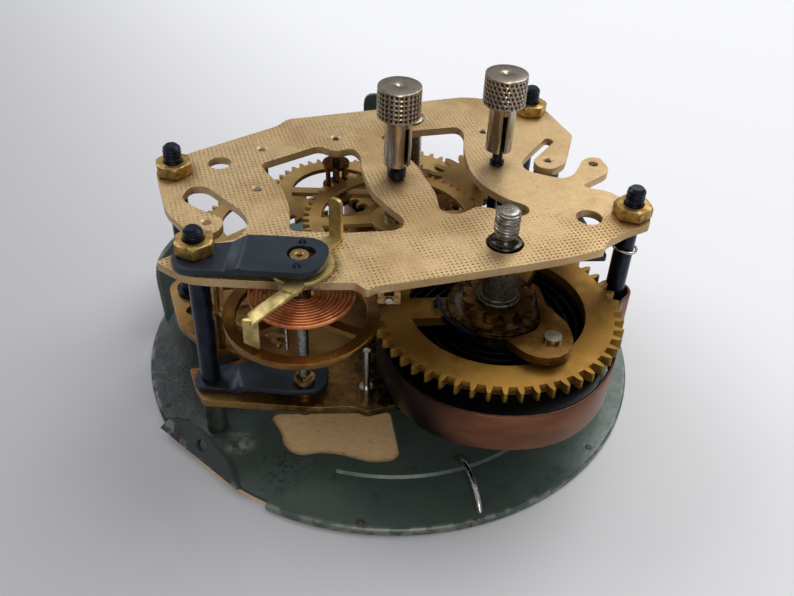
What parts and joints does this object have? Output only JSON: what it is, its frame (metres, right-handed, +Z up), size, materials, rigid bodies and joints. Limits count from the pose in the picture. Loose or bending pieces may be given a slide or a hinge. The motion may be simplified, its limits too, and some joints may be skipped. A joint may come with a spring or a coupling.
{
  "type": "clock movement",
  "caption": "Mechanical alarm-clock movement between brass plates on a round steel dial disc, with balance, open mainspring and setting knobs.",
  "frame": {"origin": "centre of the dial disc, on the plane it lies on", "axes": "+Z up, from the dial to the back plate; -Y towards the balance and the time mainspring; +X to the right in the picture"},
  "size_m": [0.064, 0.064, 0.0386],
  "materials": {
    "dial steel": "semi-gloss, aged",
    "card": "matte",
    "plate brass": "satin, aged",
    "bright brass": "polished",
    "nut brass": "satin, oily",
    "balance brass": "satin, tarnished",
    "blued steel": "blackened",
    "arbor steel": "satin",
    "bright steel": "bright",
    "foot steel": "grey",
    "spring steel": "tempered brown",
    "hairspring": "copper coloured"
  },
  "bodies": {
    "frame": {"dial_disc": "dial steel", "dial_card": "card", "wire_pin": "bright steel", "foot_posts": "foot steel", "front_plate": "plate brass", "back_plate": "plate brass", "pillars": "blued steel", "pillar_nuts": "nut brass", "pillar_ring": "bright steel", "lower_bridge": "blued steel", "lower_balance_screw": "bright brass", "guide_pin": "bright steel", "upper_bridge": "blued steel", "upper_balance_bush": "bright brass", "bridge_rivets": "blued steel", "hairspring_stud": "bright brass", "hairspring": "hairspring", "stop_pin": "blued steel", "guide_block": "bright brass", "verge_bush": "blued steel", "time_mainspring": "spring steel", "alarm_mainspring": "spring steel", "minute_stud": "blued steel"},
    "regulator": {"regulator": "bright brass"},
    "balance": {"balance_wheel": "balance brass", "balance_staff": "arbor steel", "impulse_pin": "arbor steel", "hairspring_collet": "bright brass"},
    "pallet_lever": {"pallet_lever": "balance brass"},
    "escape": {"escape_wheel": "plate brass", "escape_pinion": "arbor steel"},
    "fourth": {"fourth_wheel": "plate brass", "fourth_pinion": "arbor steel"},
    "third": {"third_wheel": "plate brass", "third_arbor": "arbor steel", "lantern_pinion": "nut brass"},
    "centre": {"centre_wheel": "plate brass", "centre_pinion": "arbor steel"},
    "great": {"great_wheel": "plate brass", "click_rivet": "bright steel", "click_spring": "blued steel"},
    "winder": {"winding_arbor": "arbor steel", "ratchet_wheel": "nut brass"},
    "click": {"click": "nut brass"},
    "hands": {"hand_arbor": "arbor steel", "hand_knob": "bright steel", "cannon_pinion": "bright brass"},
    "minute": {"minute_wheel": "plate brass"},
    "hour": {"hour_wheel": "plate brass"},
    "setting": {"alarm_setting_arbor": "arbor steel", "alarm_knob": "bright steel"},
    "alarm_wheel": {"alarm_wheel": "plate brass"},
    "alarm_great": {"alarm_great_wheel": "plate brass"},
    "alarm_winder": {"alarm_winding_arbor": "arbor steel", "alarm_ratchet": "nut brass"},
    "alarm_click": {"alarm_click": "nut brass"},
    "alarm_escape": {"alarm_escape_wheel": "plate brass", "alarm_pinion": "arbor steel"},
    "verge": {"alarm_verge": "arbor steel", "hammer": "blued steel"}
  },
  "joints": [
    {"name": "fourth_wheel_turn", "type": "hinge", "parent": "frame", "child": "fourth", "pos_m": [-0.01689, 0.00551, 0.02], "axis": [0, 0, 1], "continuous": true},
    {"name": "great_wheel_turn", "type": "hinge", "parent": "frame", "child": "great", "pos_m": [0.0122, -0.01259, 0.02], "axis": [0, 0, 1], "continuous": true},
    {"name": "centre_wheel_turn", "type": "hinge", "parent": "frame", "child": "centre", "pos_m": [0, 0, 0.02], "axis": [0, 0, 1], "continuous": true},
    {"name": "third_wheel_turn", "type": "hinge", "parent": "frame", "child": "third", "pos_m": [-0.008, 0.00911, 0.02], "axis": [0, 0, 1], "continuous": true},
    {"name": "escape_wheel_turn", "type": "hinge", "parent": "frame", "child": "escape", "pos_m": [-0.01609, -0.00379, 0.02], "axis": [0, 0, 1], "continuous": true},
    {"name": "pallet_lever_rock", "type": "hinge", "parent": "frame", "child": "pallet_lever", "pos_m": [-0.0206, -0.0111, 0.02], "axis": [0, 0, 1], "range_deg": [-4, 4]},
    {"name": "balance_swing", "type": "hinge", "parent": "frame", "child": "balance", "pos_m": [-0.0095, -0.0185, 0.02], "axis": [0, 0, 1], "range_deg": [-220, 220], "stiffness_Nm_per_rad": 0.000004, "deforming": ["hairspring"]},
    {"name": "regulator_set", "type": "hinge", "parent": "frame", "child": "regulator", "pos_m": [-0.0095, -0.0185, 0.02], "axis": [0, 0, 1], "range_deg": [-8, 8]},
    {"name": "winding_turn", "type": "hinge", "parent": "great", "child": "winder", "pos_m": [0.0122, -0.01259, 0.02], "axis": [0, 0, 1], "continuous": true},
    {"name": "click_lift", "type": "hinge", "parent": "great", "child": "click", "pos_m": [0.01766, -0.01994, 0.02], "axis": [0, 0, 1], "range_deg": [-14, 0]},
    {"name": "hand_setting_turn", "type": "hinge", "parent": "frame", "child": "hands", "pos_m": [0, 0, 0.02], "axis": [0, 0, 1], "continuous": true},
    {"name": "minute_wheel_turn", "type": "hinge", "parent": "frame", "child": "minute", "pos_m": [-0.00338, 0.00636, 0.02], "axis": [0, 0, 1], "continuous": true},
    {"name": "hour_wheel_turn", "type": "hinge", "parent": "frame", "child": "hour", "pos_m": [0, 0, 0.02], "axis": [0, 0, 1], "continuous": true},
    {"name": "alarm_setting_turn", "type": "hinge", "parent": "frame", "child": "setting", "pos_m": [0.0123, 0.0045, 0.02], "axis": [0, 0, 1], "continuous": true},
    {"name": "alarm_wheel_turn", "type": "hinge", "parent": "frame", "child": "alarm_wheel", "pos_m": [0, 0, 0.02], "axis": [0, 0, 1], "continuous": true},
    {"name": "alarm_great_wheel_turn", "type": "hinge", "parent": "frame", "child": "alarm_great", "pos_m": [0.0012, 0.0153, 0.02], "axis": [0, 0, 1], "continuous": true},
    {"name": "alarm_escape_wheel_turn", "type": "hinge", "parent": "frame", "child": "alarm_escape", "pos_m": [0.011, 0.01269, 0.02], "axis": [0, 0, 1], "continuous": true},
    {"name": "alarm_winding_turn", "type": "hinge", "parent": "alarm_great", "child": "alarm_winder", "pos_m": [0.0012, 0.0153, 0.02], "axis": [0, 0, 1], "continuous": true},
    {"name": "alarm_click_lift", "type": "hinge", "parent": "alarm_great", "child": "alarm_click", "pos_m": [-0.00528, 0.01294, 0.02], "axis": [0, 0, 1], "range_deg": [-12, 0]},
    {"name": "hammer_swing", "type": "hinge", "parent": "frame", "child": "verge", "pos_m": [0.01881, 0.0059, 0.02], "axis": [0, 0, 1], "range_deg": [-4, 4]}
  ],
  "couplings": [
    {"joint": "great_wheel_turn", "follows": "fourth_wheel_turn", "ratio": -0.0038462},
    {"joint": "centre_wheel_turn", "follows": "fourth_wheel_turn", "ratio": 0.016667},
    {"joint": "third_wheel_turn", "follows": "fourth_wheel_turn", "ratio": -0.15},
    {"joint": "escape_wheel_turn", "follows": "fourth_wheel_turn", "ratio": -6.6667},
    {"joint": "minute_wheel_turn", "follows": "hand_setting_turn", "ratio": -0.33333},
    {"joint": "hour_wheel_turn", "follows": "hand_setting_turn", "ratio": 0.083333},
    {"joint": "alarm_wheel_turn", "follows": "alarm_setting_turn", "ratio": -0.16667},
    {"joint": "alarm_escape_wheel_turn", "follows": "alarm_great_wheel_turn", "ratio": -6}
  ]
}
